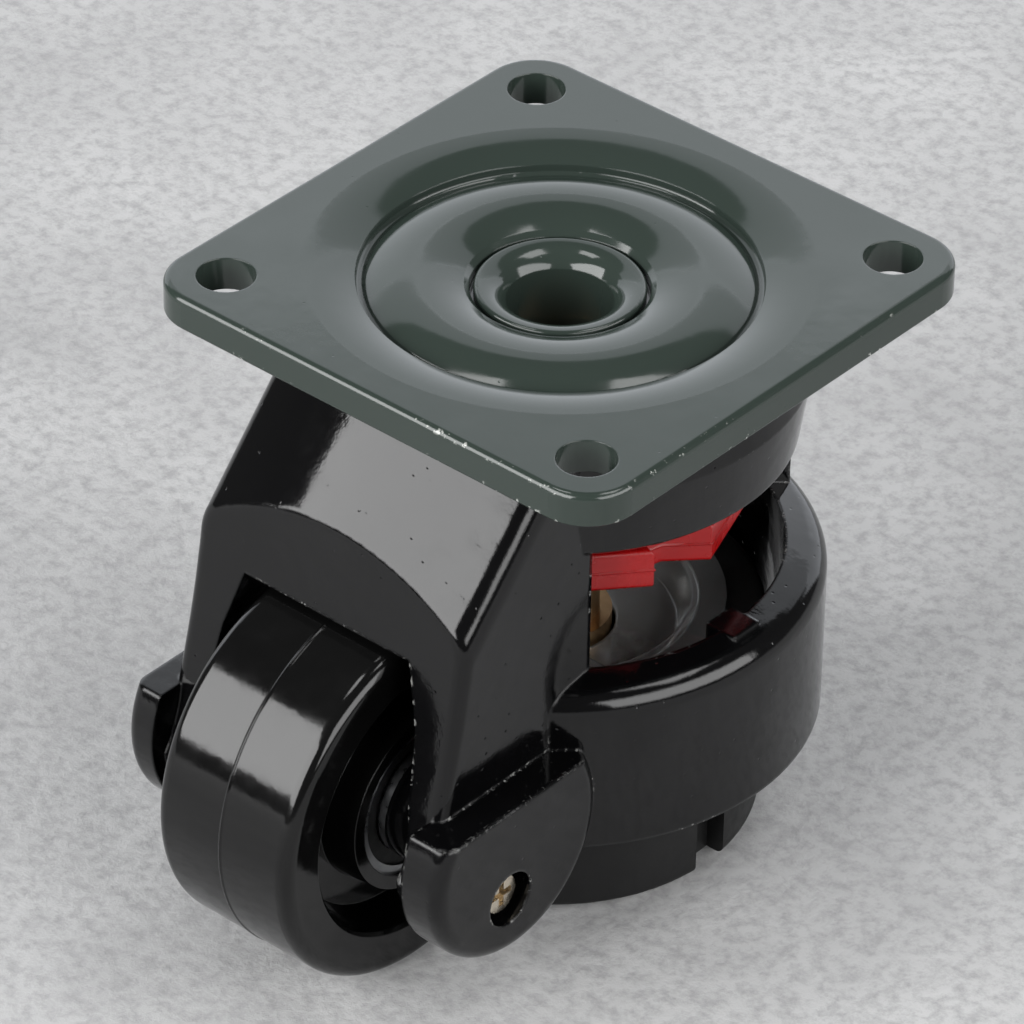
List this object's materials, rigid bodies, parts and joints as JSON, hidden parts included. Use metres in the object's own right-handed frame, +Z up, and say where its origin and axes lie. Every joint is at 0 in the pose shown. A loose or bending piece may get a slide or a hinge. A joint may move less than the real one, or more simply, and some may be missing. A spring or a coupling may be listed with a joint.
{
  "type": "levelling castor",
  "caption": "Swivel castor with a square mounting plate, a nylon wheel in an arched fork, and a rubber levelling foot lowered by a thumbwheel through side windows.",
  "frame": {"origin": "centre of the mounting plate's top face, on the swivel axis", "axes": "+Z up along the swivel axis out of the plate's mounting face; X along the wheel's axle and one pair of plate edges; the wheel stands on the -Y side"},
  "size_m": [0.073, 0.0987, 0.0803],
  "materials": {
    "plate_enamel": "glossy dark green-grey enamel",
    "body_paint": "gloss black paint on a die casting",
    "bright_steel": "ground steel",
    "yellow_zinc": "yellow zinc plate on steel",
    "zinc_steel": "zinc plated",
    "red_plastic": "moulded, semi-gloss",
    "pad_rubber": "matt",
    "shield_rubber": "matt",
    "clear_cover": "clear plastic",
    "wheel_nylon": "moulded nylon, semi-gloss",
    "screw_zinc": "zinc plated"
  },
  "bodies": {
    "plate": {"top_plate": "plate_enamel", "kingpin": "plate_enamel"},
    "swivel": {"swivel_housing": "body_paint", "upper_race": "bright_steel", "lower_race": "bright_steel", "upper_balls": "bright_steel", "lower_balls": "bright_steel", "nut_circlip": "bright_steel", "bearing_spacer": "bright_steel", "left_bearing_inner_ring": "bright_steel", "right_bearing_inner_ring": "bright_steel", "left_side_washer": "bright_steel", "right_side_washer": "bright_steel", "axle": "bright_steel", "keeper_screw": "screw_zinc"},
    "adjuster": {"adjusting_nut": "yellow_zinc", "thrust_washer": "bright_steel", "thumbwheel": "red_plastic"},
    "foot": {"spindle": "yellow_zinc", "spindle_stop_ring": "bright_steel", "foot_plate": "zinc_steel", "foot_pad": "pad_rubber", "dust_cover": "clear_cover"},
    "wheel": {"wheel": "wheel_nylon", "left_bearing_outer_ring": "bright_steel", "right_bearing_outer_ring": "bright_steel", "left_bearing_balls": "bright_steel", "right_bearing_balls": "bright_steel", "left_bearing_shields": "shield_rubber", "right_bearing_shields": "shield_rubber"}
  },
  "joints": [
    {"name": "swivel_turn", "type": "hinge", "parent": "plate", "child": "swivel", "pos_m": [0, 0, 0], "axis": [0, 0, 1], "continuous": true},
    {"name": "wheel_spin", "type": "hinge", "parent": "swivel", "child": "wheel", "pos_m": [0, -0.0372, -0.0553], "axis": [1, 0, 0], "continuous": true},
    {"name": "thumbwheel_turn", "type": "hinge", "parent": "swivel", "child": "adjuster", "pos_m": [0, 0, 0], "axis": [0, 0, 1], "range_deg": [-1646, 1646]},
    {"name": "foot_slide", "type": "slide", "parent": "swivel", "child": "foot", "axis": [0, 0, 1], "range_m": [-0.008, 0.008]}
  ],
  "couplings": [
    {"joint": "thumbwheel_turn", "follows": "foot_slide", "rad_per_m": -3590.4}
  ]
}
